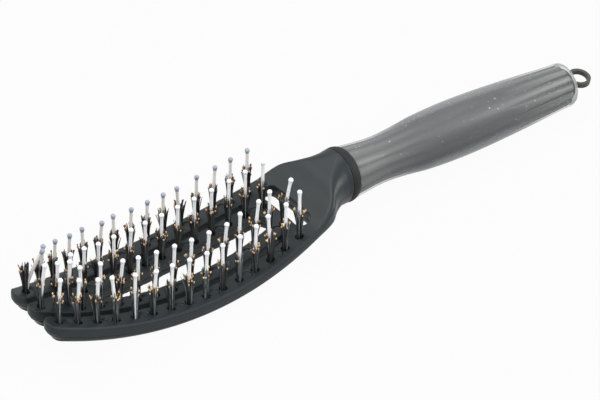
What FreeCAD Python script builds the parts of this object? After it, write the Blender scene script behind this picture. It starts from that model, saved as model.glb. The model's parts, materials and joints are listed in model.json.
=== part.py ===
import FreeCAD, Part
import math
import os

# Vented finger brush for the hair, lying on its back with the bristles up.
# Millimetres. X runs from the finger tips to the hang loop, Y to the left finger,
# Z up. The origin is the middle of the brush's own box, on the surface it lies on.
# Places along the brush are given as stations, measured from the finger tips.

V = FreeCAD.Vector

# Head and palm
head_reach = 115.9
tip_rise = 11.31
tip_thickness = 6.1
root_thickness = 3.7
top_edge_radius = 1.1
back_edge_radius = 1.9
cover_inset = 0.2
cut_overrun = 2.0

# Fingers, slots and vents, as seen from above: the middle finger at its tip, and where
# it is split in two strips with the vent between them
finger_width = 6.9
slot_width = 2.2
middle_tip_width = 4.7
strip_width = 5.5
vent_width = 10.0
palm_reach = 28.8
vent_setback = 0.5
slit_setback = 20.1
slit_width = 5.0
slit_radius = 180.0
slit_half_span = 8.6

# Rows of tufts and pins
first_row_station = 4.7
last_row_setback = 25.1
row_count = 15
unsplit_row_count = 2
tuft_sides = 6
hole_radius = 1.25
hole_depth = 1.9
anchor_height = 0.9
anchor_width = 2.1
anchor_gauge = 0.45
tuft_height = 11.0
tuft_root_radius = 1.05
tuft_waist_radius = 1.35
tuft_notch_depth = 1.3
tuft_waist_share = 0.6
pin_height = 17.0
pin_radius = 0.55
pin_clearance = 0.04
ball_radius = 0.8

# Neck, collar and grip
neck_height = 12.7
neck_radius = 9.05
collar_width = 3.2
collar_bulge = 0.35
grip_length = 92.0
grip_radius = 9.55
core_radius = 6.4
grip_sides=24
butt_wall = 1.6
butt_edge = 1.4
flute_count = 14
flute_width = 1.5
neck_flute_length = 31.0
neck_flute_depth = 0.55
butt_flute_length = 30.0
butt_flute_depth = 1.0

# Tang that ties the head to the grip
tang_radius = 4.0
tang_root = 5.0
tang_reach = 44.0
tang_clearance = 0.05
cross_pin_radius = 1.25
cross_pin_station = 30.0

# End plug and hang loop
plug_radius = 5.2
plug_length = 8.0
plug_proud = 0.3
loop_outer_radius = 3.95
loop_hole_radius = 2.85
loop_thickness = 1.65
loop_gap = 2.2
loop_turn = 9.0
loop_sink = 0.6
stem_radius = 1.6
stem_boss_radius = 2.5
stem_clearance = 0.06
end_play = 0.3
retainer_radius = 3.2
retainer_width = 1.6
retainer_room = 0.8

# Profile of the grip: share of its length, share of its largest radius
grip_shares = (
    (0.0, 0.905), (0.13, 0.80), (0.22, 0.835), (0.34, 0.955),
    (0.51, 1.0), (0.72, 0.93), (0.96, 0.785),
)

# The head is widest, and its bristle face lowest, at these shares of its reach
widest_share = 0.5142
belly_share = 0.4866

# Roundness of a finger's end and the place of its row, as shares of its width
finger_end_share = 0.52
outer_row_share = 0.55

# Tufts in line on the middle finger before it splits, and the start of its vent, as
# shares of the row pitch past the first row, and the spread of a tuft in the same pitch
centre_shares = (-0.08, 0.86, 1.52)
vent_start_share = 2.12
tuft_spread_share = 0.32

# Counts of steps along the head up to the palm, the palm, the grip, a round edge of
# the grip and a round corner of the head
head_step_count = 10
palm_step_count = 5
grip_step_count = 12
edge_step_count = 3
corner_step_count = 3

# The palm begins at this share of the head's reach
palm_share = 0.83

# Cross sections of the palm as it draws in to the neck: share of the reach, share
# of the head's half width, top and bottom as shares of the neck's height, edge
# radius as a share of the half height
palm_shares = (
    (0.893, 0.748, 1.176, 0.585, 0.62),
    (0.929, 0.577, 1.401, 0.479, 0.72),
    (0.96, 0.492, 1.534, 0.432, 0.89),
    (0.985, 0.459, 1.639, 0.326, 0.945),
)
neck_roundness_share = 0.96

# Depth of the parting line below the bristle face, as a share of the thickness, in
# the head and at the neck
parting_share = 0.6
neck_parting_share = 0.5


tip_half_width = finger_width + slot_width + middle_tip_width / 2
head_half_width = finger_width + slot_width + strip_width + vent_width / 2
finger_end_radius = finger_width * finger_end_share
outer_row_margin = finger_width * outer_row_share
inner_row_margin = finger_width + slot_width + strip_width / 2
widest_station = head_reach * widest_share
belly_station = head_reach * belly_share
slot_end_station = head_reach - palm_reach
slit_station = head_reach - slit_setback


def arc_radius(reach, rise):
    """Radius of an arc that starts level and climbs by a rise over a reach."""
    return (reach ** 2 + rise ** 2) / (2 * rise)


side_radius = arc_radius(widest_station, head_half_width - tip_half_width)
belly_radius = arc_radius(belly_station, tip_rise)
first_row_angle = math.asin((first_row_station - belly_station) / belly_radius)
last_row_angle = math.asin((head_reach - last_row_setback - belly_station) / belly_radius)
row_step = (last_row_angle - first_row_angle) / (row_count - 1)
row_pitch = belly_radius * row_step
tuft_tip_radius = row_pitch * tuft_spread_share


def side_at(station):
    """Half width of the head at a station, on its long side curve."""
    run = station - widest_station
    return head_half_width - side_radius + math.sqrt(side_radius ** 2 - run ** 2)


def thickness_at(station):
    """The head thins evenly from the finger tips to the palm."""
    return tip_thickness + (root_thickness - tip_thickness) * station / head_reach


def face_at(station):
    """Height of the bristle face, which is hollow along the head."""
    run = station - belly_station
    return thickness_at(belly_station) + belly_radius - math.sqrt(belly_radius ** 2 - run ** 2)


def smooth_row(table, place):
    """Values of a table at a place, on smooth curves through its rows."""
    index = 0
    while index < len(table) - 2 and table[index + 1][0] <= place:
        index += 1
    low, high = table[index], table[index + 1]
    before = table[max(index - 1, 0)]
    after = table[min(index + 2, len(table) - 1)]
    span = high[0] - low[0]
    part = (place - low[0]) / span
    late = part * part * (3 - 2 * part)
    rise = part * (1 - part) ** 2
    fall = part * part * (1 - part)
    values = []
    for a, b, c, d in zip(before[1:], low[1:], high[1:], after[1:]):
        start_slope = (c - a) / (high[0] - before[0])
        end_slope = (d - b) / (after[0] - low[0])
        values.append(b + (c - b) * late + span * (start_slope * rise - end_slope * fall))
    return values


def grip_radius_at(share):
    """Radius of the grip at a share of its length."""
    return grip_radius * smooth_row(grip_shares, share)[0]


def even_steps(start, end, count):
    """Evenly spaced values from start to end, both included."""
    return [start + (end - start) * index / count for index in range(count + 1)]


def droop_angle():
    """Slope at which the grip's underside just meets the surface below the head."""
    angles = []
    for share in even_steps(0, grip_shares[-1][0], grip_step_count):
        run = collar_width + grip_length * share
        radius = grip_radius_at(share)
        reach = math.hypot(run, radius)
        if reach > neck_height:
            angles.append(math.asin(neck_height / reach) - math.atan2(radius, run))
    return min(angles)


droop = droop_angle()
loop_centre = collar_width + grip_length + loop_gap + loop_outer_radius
total_length = (head_reach + loop_centre * math.cos(droop)
                + loop_outer_radius * math.cos(droop)
                + loop_thickness / 2 * math.sin(droop))
tip_x = -total_length / 2


def on_axis(shape):
    """Puts a shape made along +X from the neck's end onto the drooping grip axis."""
    turned = shape.copy()
    turned.rotate(V(0, 0, 0), V(0, 1, 0), math.degrees(droop))
    turned.translate(V(tip_x + head_reach, 0, neck_height))
    return turned


def rounded_section(half_width, top, bottom, top_edge, bottom_edge):
    """Closed outline of one cross section in the YZ plane, with four stepped round edges."""
    corners = (
        (half_width - top_edge, top - top_edge, top_edge),
        (top_edge - half_width, top - top_edge, top_edge),
        (bottom_edge - half_width, bottom + bottom_edge, bottom_edge),
        (half_width - bottom_edge, bottom + bottom_edge, bottom_edge),
    )
    points = []
    for quarter, (y, z, edge) in enumerate(corners):
        for turn in even_steps(quarter, quarter + 1, corner_step_count):
            angle = turn * math.pi / 2
            points.append(V(0, y + edge * math.cos(angle), z + edge * math.sin(angle)))
    return Part.makePolygon(points + points[:1])


def head_rows():
    """Rows of station, half width, top, bottom, top edge and back edge, from tips to neck."""
    rows_found = []
    for station in even_steps(0, head_reach * palm_share, head_step_count):
        top = face_at(station)
        rows_found.append((station, side_at(station), top, top - thickness_at(station),
                           top_edge_radius, back_edge_radius))
    for share, width_share, top_share, bottom_share, edge_share in palm_shares:
        top = neck_height * top_share
        bottom = neck_height * bottom_share
        edge = (top - bottom) / 2 * edge_share
        rows_found.append((head_reach * share, head_half_width * width_share, top, bottom, edge, edge))
    return rows_found


def head_stations():
    """Stations of the cross sections, closer together where the palm draws in."""
    palm_start = head_reach * palm_share
    stations = even_steps(0, palm_start, head_step_count)
    return stations + even_steps(palm_start, head_reach * palm_shares[-1][0], palm_step_count)[1:]


def head_sections(inset):
    """Cross sections from the finger tips to the neck, drawn in by the inset."""
    wires = []
    known = head_rows()
    for station in head_stations():
        half_width, top, bottom, top_edge, back_edge = smooth_row(known, station)
        wire = rounded_section(half_width - inset, top, bottom, top_edge, back_edge)
        wire.translate(V(tip_x + station, 0, 0))
        wires.append(wire)
    edge = (neck_radius - inset) * neck_roundness_share
    wires.append(on_axis(rounded_section(neck_radius - inset, neck_radius, -neck_radius, edge, edge)))
    return wires


def parting_heights():
    """Stations and heights of the parting line between front plate and back cover."""
    places = []
    known = head_rows()
    palm_start = head_reach * palm_share
    for station in head_stations():
        top, bottom = smooth_row(known, station)[1:3]
        past = max(0, station - palm_start) / (head_reach - palm_start)
        depth = parting_share + (neck_parting_share - parting_share) * past
        places.append((station, top - depth * (top - bottom)))
    places.append((head_reach, neck_height))
    return places


def parting_block(above):
    """Solid on one side of the parting surface, wider and longer than the head."""
    places = parting_heights()
    points = [V(tip_x + station, -2 * head_half_width, height) for station, height in places]
    reach = 3 * neck_height if above else -neck_height
    before = V(tip_x - cut_overrun, points[0].y, points[0].z)
    after = V(tip_x + head_reach + cut_overrun, points[0].y, points[-1].z)
    far_after = V(after.x, after.y, reach)
    far_before = V(before.x, before.y, reach)
    outline_points = [before] + points + [after, far_after, far_before, before]
    return Part.Face(Part.makePolygon(outline_points)).extrude(V(0, 4 * head_half_width, 0))


def upright(edges):
    """Tall solid over a closed outline drawn in the XY plane."""
    wire = Part.Wire(edges)
    wire.translate(V(0, 0, -cut_overrun))
    return Part.Face(wire).extrude(V(0, 0, 3 * neck_height))


def side_point(station, margin):
    """Point of the curve that runs inside the head's left side at a fixed margin."""
    radius = side_radius - margin
    run = station - widest_station
    y = head_half_width - side_radius + math.sqrt(radius ** 2 - run ** 2)
    return V(tip_x + station, y, 0)


def side_curve(start, end, margin):
    """Arc of that curve between two stations."""
    middle = (start + end) / 2
    return Part.Arc(side_point(start, margin), side_point(middle, margin),
                    side_point(end, margin)).toShape()


def finger_slot():
    """Cutter for the slot between the left and the middle finger, open at the tip."""
    inner = finger_width + slot_width
    start = -cut_overrun
    near = side_point(slot_end_station, finger_width)
    far = side_point(slot_end_station, inner)
    tip = (near + far) / 2 + V(slot_width / 2, 0, 0)
    return upright([
        side_curve(start, slot_end_station, finger_width),
        Part.Arc(near, tip, far).toShape(),
        side_curve(slot_end_station, start, inner),
        Part.makeLine(side_point(start, inner), side_point(start, finger_width)),
    ])


def mirrored(shape):
    """Right hand twin of a left hand shape."""
    return shape.mirror(V(0, 0, 0), V(0, 1, 0))


def centre_vent():
    """Cutter for the long vent that splits the middle finger in two strips."""
    margin = finger_width + slot_width + strip_width
    start = first_row_station + row_pitch * vent_start_share
    end = slot_end_station - vent_setback
    first = side_point(start, margin)
    last = side_point(end, margin)
    left = side_curve(start, end, margin)
    nose = V(first.x - first.y, 0, 0)
    root = V(last.x + last.y / 2, 0, 0)
    right = mirrored(left)
    return upright([
        left, Part.Arc(last, root, V(last.x, -last.y, 0)).toShape(),
        right, Part.Arc(V(first.x, -first.y, 0), nose, first).toShape(),
    ])


def slit_point(radius, angle):
    """Point at an angle on an arc about the slit's centre of curvature."""
    centre = tip_x + slit_station - slit_radius
    return V(centre + radius * math.cos(angle), radius * math.sin(angle), 0)


def arched_slit():
    """Cutter for the slit between the last row and the palm, bowed to the handle."""
    angle = math.asin(slit_half_span / slit_radius)
    outer = slit_radius + slit_width / 2
    inner = slit_radius - slit_width / 2
    beyond = angle + slit_width / 2 / slit_radius
    return upright([
        Part.Arc(slit_point(outer, -angle), slit_point(outer, 0), slit_point(outer, angle)).toShape(),
        Part.Arc(slit_point(outer, angle), slit_point(slit_radius, beyond),
                 slit_point(inner, angle)).toShape(),
        Part.Arc(slit_point(inner, angle), slit_point(inner, 0), slit_point(inner, -angle)).toShape(),
        Part.Arc(slit_point(inner, -angle), slit_point(slit_radius, -beyond),
                 slit_point(outer, -angle)).toShape(),
    ])


def finger_end(margin):
    """Round solid that bounds the end of a finger whose middle lies at a margin."""
    centre = side_point(finger_end_radius, margin)
    return Part.makeCylinder(finger_end_radius, 3 * neck_height, centre - V(0, 0, cut_overrun))


def head_plan():
    """Everything the head may fill, seen from above: fingers, slots and vents."""
    slot = finger_slot()
    length = head_reach + cut_overrun * 2 - finger_end_radius
    plan = Part.makeBox(length, 4 * head_half_width, 3 * neck_height,
                        V(tip_x + finger_end_radius, -2 * head_half_width, -cut_overrun))
    left_end = finger_end(finger_width / 2)
    middle_end = finger_end(head_half_width)
    middle_end.translate(V(0, -side_point(finger_end_radius, head_half_width).y, 0))
    plan = plan.fuse([left_end, mirrored(left_end), middle_end])
    return plan.cut([slot, mirrored(slot), centre_vent(), arched_slit()])


def row_station(row):
    """Station of one row across the head, the rows being evenly spaced along its face."""
    return belly_station + belly_radius * math.sin(first_row_angle + row_step * row)


def row_places(margin, first):
    """Feet of a line of tufts along the left side, on the bristle face."""
    places = []
    for row in range(first, row_count):
        station = row_station(row)
        foot = side_point(station, margin)
        places.append(V(foot.x, foot.y, face_at(station)))
    return places


def centre_places():
    """Feet of the tufts on the middle finger before it splits."""
    stations = [first_row_station + row_pitch * share for share in centre_shares]
    return [V(tip_x + station, 0, face_at(station)) for station in stations]


def right_hand(places):
    return [V(place.x, -place.y, place.z) for place in places]


left_outer = row_places(outer_row_margin, 0)
left_inner = row_places(inner_row_margin, unsplit_row_count)
groups = {
    "left_finger": left_outer,
    "middle_left": left_inner,
    "middle_tip": centre_places(),
    "middle_right": right_hand(left_inner),
    "right_finger": right_hand(left_outer),
}


def ring_points(radius, height, sides):
    """Corners of a regular outline about the Z axis."""
    points = []
    for index in range(sides):
        angle = 2 * math.pi * index / sides
        points.append(V(radius * math.cos(angle), radius * math.sin(angle), height))
    return points


def tuft_holes():
    """Blind holes that take the tufts, with as many sides as a tuft."""
    corners = ring_points(hole_radius, -hole_depth, tuft_sides)
    hole = Part.Face(Part.makePolygon(corners + corners[:1])).extrude(V(0, 0, hole_depth + cut_overrun))
    cutters = []
    for places in groups.values():
        cutters += copies(hole, places)
    return cutters


def copies(shape, places):
    """The same piece at every place."""
    solids = []
    for place in places:
        solid = shape.copy()
        solid.translate(place)
        solids.append(solid)
    return solids


def tang():
    """Round tang from inside the palm to the middle of the grip."""
    length = tang_root + collar_width + tang_reach
    bar = Part.makeCylinder(tang_radius, length, V(-tang_root, 0, 0), V(1, 0, 0))
    return on_axis(bar)


def cross_pin(radius, length):
    """Dowel, or its hole, across the tang and the core."""
    station = collar_width + cross_pin_station
    return on_axis(Part.makeCylinder(radius, length, V(station, -length / 2, 0), V(0, 1, 0)))


def front_plate():
    """Bristle side of the head, the three fingers, the palm and the tang."""
    body = Part.makeLoft(head_sections(0), True, True)
    plate = body.common(parting_block(True)).common(head_plan())
    plate = plate.fuse(tang())
    plate = plate.cut(tuft_holes())
    return plate.cut(cross_pin(cross_pin_radius + tang_clearance, 2 * grip_radius))


def back_cover():
    """Back of the head, set in a little so that the parting line shows."""
    body = Part.makeLoft(head_sections(cover_inset), True, True)
    cover = body.common(parting_block(False)).common(head_plan())
    length = tang_root + collar_width
    channel = Part.makeCylinder(tang_radius + tang_clearance, length + tang_clearance,
                                V(-tang_root - tang_clearance, 0, 0), V(1, 0, 0))
    return cover.cut(on_axis(channel))


def lofted(profile, smooth):
    """Solid about the X axis through many sided sections given as (x, radius)."""
    wires = []
    for x, radius in profile:
        corners = ring_points(radius, x, grip_sides)
        wire = Part.makePolygon(corners + corners[:1])
        wire.rotate(V(0, 0, 0), V(0, 1, 0), 90)
        wires.append(wire)
    return Part.makeLoft(wires, True, not smooth)


def collar_ring():
    """Soft ring between the neck and the grip, with a barrel shaped outside."""
    back = grip_radius * grip_shares[0][1]
    barrel = []
    for share in even_steps(0, 1, edge_step_count):
        radius = neck_radius + (back - neck_radius) * share
        barrel.append((collar_width * share, radius + collar_bulge * math.sin(math.pi * share)))
    return on_axis(lofted(barrel, False).cut(bore(tang_radius + tang_clearance, -cut_overrun,
                                           collar_width + cut_overrun)))


butt_face = collar_width + grip_length
core_end = butt_face - butt_wall


def grip_body():
    """Solid grip, with a round edge at its butt."""
    profile = []
    for share in even_steps(0, grip_shares[-1][0], grip_step_count):
        profile.append((collar_width + grip_length * share, grip_radius_at(share)))
    x, rim = profile[-1]
    profile.append((butt_face - butt_edge, rim))
    body = lofted(profile, True)
    rounding = []
    for turn in even_steps(0, math.pi / 2, edge_step_count):
        rounding.append((butt_face - butt_edge * (1 - math.sin(turn)),
                         rim - butt_edge * (1 - math.cos(turn))))
    return body.fuse(lofted(rounding, False))


def flute_blade(floor):
    """Cutter for one flute, with its floor through the given places (x, radius)."""
    lift = 2 * grip_radius
    corners = [V(x, -flute_width / 2, radius) for x, radius in floor]
    corners.append(V(floor[-1][0], -flute_width / 2, lift))
    corners.append(V(floor[0][0], -flute_width / 2, lift))
    return Part.Face(Part.makePolygon(corners + corners[:1])).extrude(V(0, flute_width, 0))


def neck_flutes():
    """Cutters for the flutes that run out towards the belly of the grip."""
    low = core_radius - neck_flute_depth
    end = collar_width + neck_flute_length
    return around(flute_blade([(0, low), (end / 2, low), (end, core_radius + neck_flute_depth)]))


def butt_flutes():
    """Cutters for the flutes that run out deeper through the butt of the core."""
    start = butt_face - butt_flute_length
    return around(flute_blade([(start, core_radius + neck_flute_depth),
                               (butt_face, core_radius - butt_flute_depth)]))


def around(tool):
    """Copies of a tool set evenly round the grip's axis."""
    tools = []
    for index in range(flute_count):
        copy = tool.copy()
        copy.rotate(V(0, 0, 0), V(1, 0, 0), 360 / flute_count * index)
        tools.append(copy)
    return tools


def bore(radius, start, end):
    """Round cutter on the grip's axis."""
    return Part.makeCylinder(radius, end - start, V(start, 0, 0), V(1, 0, 0))


def core_bar(start):
    """Many sided bar of the core's thickness, up to its end in the butt."""
    return lofted([(start, core_radius), (core_end, core_radius)], False)


def grip_core():
    """Fluted core of the grip, bored for the tang, the dowel, the plug and the stem."""
    body = core_bar(collar_width)
    tang_room = bore(tang_radius + tang_clearance, 0, collar_width + tang_reach + end_play)
    plug_room = bore(plug_radius, butt_face - plug_length, butt_face)
    back = butt_face - plug_length
    stem_room = bore(retainer_radius + end_play, back - retainer_width - retainer_room * 2, back)
    body = body.cut(neck_flutes() + butt_flutes() + [tang_room, plug_room, stem_room])
    return on_axis(body).cut(cross_pin(cross_pin_radius + tang_clearance, 2 * grip_radius))


def grip_skin():
    """Clear outer skin over the core, drawn in round the end plug."""
    skin = grip_body().cut([core_bar(0), bore(plug_radius, 0, butt_face + cut_overrun)])
    return on_axis(skin)


def dowel():
    """Cross pin that locks the tang in the core."""
    return cross_pin(cross_pin_radius, 2 * (core_radius - end_play))


def end_plug():
    """Plug in the butt of the grip, bored for the stem of the loop."""
    plug = bore(plug_radius, butt_face - plug_length, butt_face + plug_proud)
    return on_axis(plug.cut(bore(stem_radius + stem_clearance, 0, butt_face + cut_overrun)))


def hang_loop():
    """Flat ring on a round stem with a boss that bears on the plug."""
    centre = butt_face + loop_gap + loop_outer_radius
    half = V(0, 0, loop_thickness / 2)
    ring = Part.makeCylinder(loop_outer_radius, loop_thickness, V(centre, 0, 0) - half)
    root = centre - loop_outer_radius + loop_sink
    boss_start = butt_face + plug_proud + end_play
    back = butt_face - plug_length - retainer_width - retainer_room
    boss = bore(stem_boss_radius, boss_start, root)
    loop = ring.fuse([boss, bore(stem_radius, back, root)])
    loop = loop.cut(Part.makeCylinder(loop_hole_radius, 3 * loop_outer_radius,
                                      V(centre, 0, -loop_outer_radius)))
    loop.rotate(V(0, 0, 0), V(1, 0, 0), loop_turn)
    return on_axis(loop)


def loop_retainer():
    """Push-on ring that keeps the stem in the plug."""
    end = butt_face - plug_length - end_play
    disc = bore(retainer_radius, end - retainer_width, end)
    return on_axis(disc.cut(bore(stem_radius, 0, butt_face)))


def band(lower, upper):
    """Flat faces between two outlines with as many corners."""
    faces = []
    for index in range(tuft_sides):
        after = (index + 1) % tuft_sides
        faces.append((lower[index], lower[after], upper[after], upper[index]))
    return faces


def split_band(lower, upper):
    """Triangles between two outlines, for bands that are not flat."""
    faces = []
    for a, b, c, d in band(lower, upper):
        faces.append((a, b, c))
        faces.append((a, c, d))
    return faces


def solid_of(faces):
    """Closed solid from lists of corners."""
    shells = [Part.Face(Part.makePolygon(list(points) + [points[0]])) for points in faces]
    return Part.Solid(Part.makeShell(shells))


def tuft():
    """One bundle of bristles round its pin, flared and notched at the top."""
    foot = anchor_height - hole_depth
    hole = pin_radius + pin_clearance
    waist = foot + (tuft_height - foot) * tuft_waist_share
    root = ring_points(tuft_root_radius, foot, tuft_sides)
    middle = ring_points(tuft_waist_radius, waist, tuft_sides)
    crown = ring_points(tuft_tip_radius, tuft_height, tuft_sides)
    mouth = ring_points(hole, tuft_height - tuft_notch_depth, tuft_sides)
    low_mouth = ring_points(hole, foot, tuft_sides)
    for index in range(1, tuft_sides, 2):
        crown[index] = (crown[index] + middle[index]) / 2
        crown[index].z = tuft_height - tuft_notch_depth
    faces = band(root, middle) + split_band(middle, crown) + split_band(crown, mouth)
    faces += band(mouth, low_mouth) + band(low_mouth, root)
    return solid_of(faces)


def pin():
    """One ball tipped pin, standing on its anchor inside the tuft."""
    foot = anchor_height - hole_depth
    slope = ball_radius * math.sin(math.pi / 3)
    centre = pin_height - ball_radius
    rings = [
        ring_points(pin_radius, foot, tuft_sides),
        ring_points(pin_radius, centre - ball_radius, tuft_sides),
        ring_points(ball_radius, centre, tuft_sides),
        ring_points(ball_radius / 2, centre + slope, tuft_sides),
    ]
    faces = [rings[0], rings[-1]]
    for lower, upper in zip(rings, rings[1:]):
        faces += band(lower, upper)
    return solid_of(faces)


def anchor():
    """Flat wire that holds the root of a tuft in its hole."""
    return Part.makeBox(anchor_gauge, anchor_width, anchor_height,
                        V(-anchor_gauge / 2, -anchor_width / 2, -hole_depth))


def export(name, solids):
    """Writes one node, a single solid or a group of like ones."""
    if len(solids) == 1:
        shape = solids[0]
    else:
        shape = Part.makeCompound(solids)
    shape.exportStep("parts/" + name + ".step")


os.makedirs("parts", exist_ok=True)
export("front_plate", front_plate().Solids)
export("back_cover", back_cover().Solids)
export("collar_ring", [collar_ring()])
export("grip_core", grip_core().Solids)
export("grip_skin", grip_skin().Solids)
export("tang_dowel", [dowel()])
export("end_plug", [end_plug()])
export("hang_loop", hang_loop().Solids)
export("loop_retainer", [loop_retainer()])
for group, places in groups.items():
    export(group + "_tufts", copies(tuft(), places))
    export(group + "_pins", copies(pin(), places))
    export(group + "_anchors", copies(anchor(), places))
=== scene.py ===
import json
import math
import random

import bmesh
import bpy
from mathutils import Matrix, Vector


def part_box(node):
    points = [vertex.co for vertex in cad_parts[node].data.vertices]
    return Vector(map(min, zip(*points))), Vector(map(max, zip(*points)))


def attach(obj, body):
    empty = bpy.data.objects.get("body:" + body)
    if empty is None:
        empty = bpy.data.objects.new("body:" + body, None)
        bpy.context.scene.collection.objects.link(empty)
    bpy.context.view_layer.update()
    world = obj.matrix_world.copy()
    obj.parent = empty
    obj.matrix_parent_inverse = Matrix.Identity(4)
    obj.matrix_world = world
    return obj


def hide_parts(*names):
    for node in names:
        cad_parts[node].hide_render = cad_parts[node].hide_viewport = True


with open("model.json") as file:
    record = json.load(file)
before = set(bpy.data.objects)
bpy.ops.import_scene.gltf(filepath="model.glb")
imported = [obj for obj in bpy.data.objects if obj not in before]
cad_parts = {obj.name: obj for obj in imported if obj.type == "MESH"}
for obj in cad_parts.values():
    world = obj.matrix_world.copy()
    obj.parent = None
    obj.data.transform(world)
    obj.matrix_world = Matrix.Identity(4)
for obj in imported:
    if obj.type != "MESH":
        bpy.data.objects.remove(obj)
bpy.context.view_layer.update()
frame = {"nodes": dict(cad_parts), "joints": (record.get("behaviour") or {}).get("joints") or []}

MM = 0.001
UP = Vector((0, 0, 1))

# Sizes in millimetres, as the solids have them. Stations are measured along the head from
# the finger tips, and margins inward from its side.

# The head: its reach, the rise of its bristle face from belly to tips, where it is widest
# and lowest, its thickness at both ends and the rounding of its edges
HEAD_REACH = 115.9
TIP_RISE = 11.31
WIDEST_SHARE, BELLY_SHARE = 0.5142, 0.4866
TIP_THICKNESS, ROOT_THICKNESS = 6.1, 3.7
TOP_EDGE, BACK_EDGE = 1.1, 1.9
COVER_INSET = 0.1

# The palm and the neck, and the parting line as a share of the thickness, which falls
# towards the neck
PALM_SHARE = 0.83
PARTING_SHARE, PARTING_FALL = 0.6, 0.1
NECK_HEIGHT, NECK_RADIUS = 12.7, 9.05
NECK_ROUNDNESS = 0.985

# Share of the reach, share of the half width, top and bottom as shares of the neck's
# height, and roundness, from the palm to the neck
PALM_SHARES = (
    (0.893, 0.748, 1.176, 0.585, 0.62),
    (0.929, 0.577, 1.401, 0.479, 0.72),
    (0.96, 0.492, 1.534, 0.432, 0.89),
    (0.985, 0.459, 1.639, 0.326, 0.945),
)

# Fingers, slots and vents. The setbacks are from the neck, the long vent's from the slots.
FINGER_WIDTH, MIDDLE_TIP_WIDTH = 6.9, 4.7
SLOT_WIDTH, STRIP_WIDTH, VENT_WIDTH = 2.2, 5.5, 10.0
FINGER_END_SHARE = 0.52
PALM_REACH, VENT_SETBACK = 28.8, 0.5
SLIT_SETBACK, SLIT_WIDTH = 20.1, 5.0
SLIT_RADIUS, SLIT_HALF_SPAN = 180.0, 8.6

# Rows of tufts: the tip's three as shares of the pitch past the first row
ROWS, UNSPLIT_ROWS = 15, 2
FIRST_ROW, LAST_ROW_SETBACK = 4.7, 25.1
OUTER_ROW_SHARE = 0.55
CENTRE_SHARES, VENT_START_SHARE = (-0.08, 0.86, 1.52), 2.12
HOLE_RADIUS, HOLE_DEPTH = 1.25, 1.9
TUFT_HEIGHT = 11.0
PIN_HEIGHT, PIN_RADIUS, BALL_RADIUS = 17.0, 0.55, 0.8

# Collar and grip, the grip's profile as shares of its length and of its largest radius
COLLAR_WIDTH = 3.2
GRIP_LENGTH, GRIP_RADIUS = 92.0, 9.55
BUTT_EDGE = 1.4
PLUG_RADIUS = 5.2
FLUTES = 14
GRIP_SHARES = (
    (0.0, 0.905), (0.13, 0.80), (0.22, 0.835), (0.34, 0.955),
    (0.51, 1.0), (0.72, 0.93), (0.96, 0.785),
)


def arc_radius(reach, rise):
    """Radius of an arc that starts level and climbs by a rise over a reach."""
    return (reach ** 2 + rise ** 2) / (2 * rise)


# Sizes worked out from those above
TIP_HALF_WIDTH = FINGER_WIDTH + SLOT_WIDTH + MIDDLE_TIP_WIDTH / 2
HEAD_HALF_WIDTH = FINGER_WIDTH + SLOT_WIDTH + STRIP_WIDTH + VENT_WIDTH / 2
FINGER_END_RADIUS = FINGER_WIDTH * FINGER_END_SHARE
WIDEST_STATION = HEAD_REACH * WIDEST_SHARE
BELLY_STATION = HEAD_REACH * BELLY_SHARE
PALM_START = HEAD_REACH * PALM_SHARE
SLOT_END = HEAD_REACH - PALM_REACH
VENT_END = SLOT_END - VENT_SETBACK
SLIT_STATION = HEAD_REACH - SLIT_SETBACK
LAST_ROW = HEAD_REACH - LAST_ROW_SETBACK
OUTER_MARGIN = FINGER_WIDTH * OUTER_ROW_SHARE
INNER_MARGIN = FINGER_WIDTH + SLOT_WIDTH + STRIP_WIDTH / 2
SIDE_RADIUS = arc_radius(WIDEST_STATION, HEAD_HALF_WIDTH - TIP_HALF_WIDTH)
BELLY_RADIUS = arc_radius(BELLY_STATION, TIP_RISE)
FIRST_ANGLE = math.asin((FIRST_ROW - BELLY_STATION) / BELLY_RADIUS)
ROW_STEP = (math.asin((LAST_ROW - BELLY_STATION) / BELLY_RADIUS) - FIRST_ANGLE) / (ROWS - 1)
ROW_PITCH = BELLY_RADIUS * ROW_STEP
VENT_START = FIRST_ROW + ROW_PITCH * VENT_START_SHARE
BUTT = COLLAR_WIDTH + GRIP_LENGTH

# The head's tips, the way the loop's axis and so the grip droops, and the end of the neck
TIP_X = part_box("front_plate")[0].x / MM
SWIVEL = Vector(frame["joints"][0]["axis"])
DROOP = math.atan2(-SWIVEL.z, SWIVEL.x)
NECK = Vector((TIP_X + HEAD_REACH, 0, NECK_HEIGHT))
AXIS = Vector((math.cos(DROOP), 0, -math.sin(DROOP)))
ABOVE = Vector((math.sin(DROOP), 0, math.cos(DROOP)))

# Counts of steps along curves and round circles
ARC_STEPS, FINGER_END_STEPS, SIDE_STEPS, SLIT_STEPS = 10, 32, 48, 24
HEAD_ROW_STEPS, HEAD_STEPS = 10, 150
WALL_STEPS, EDGE_STEPS, ACROSS_STEPS = 5, 10, 24
HOLE_SIDES, DIMPLE_SIDES = 20, 28
CORNER_STEPS, COLLAR_STEPS, COLLAR_SIDES = 4, 10, 128
RIM_STEPS, SKIN_STEPS, BUTT_STEPS, SKIN_SIDES = 5, 90, 12, 160
CORE_STEPS, CORE_EDGE_STEPS, CORE_SIDES = 100, 6, 280
BALL_STEPS, PIN_SIDES, BRISTLE_SIDES = 9, 16, 5

# Distance under which two points are one, and how the head's edges are softened
MERGE_DISTANCE = 1e-5
VOXEL = 0.22
SMOOTH_FACTOR, SMOOTH_ROUNDS = 0.5, 3


# ---- forms shared by the pieces ----

def steps(start, end, count):
    """Even steps with both ends."""
    return [start + (end - start) * i / count for i in range(count + 1)]


def turns(count):
    """Angles of a full turn in even steps."""
    return steps(0, 2 * math.pi, count)[:-1]


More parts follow.
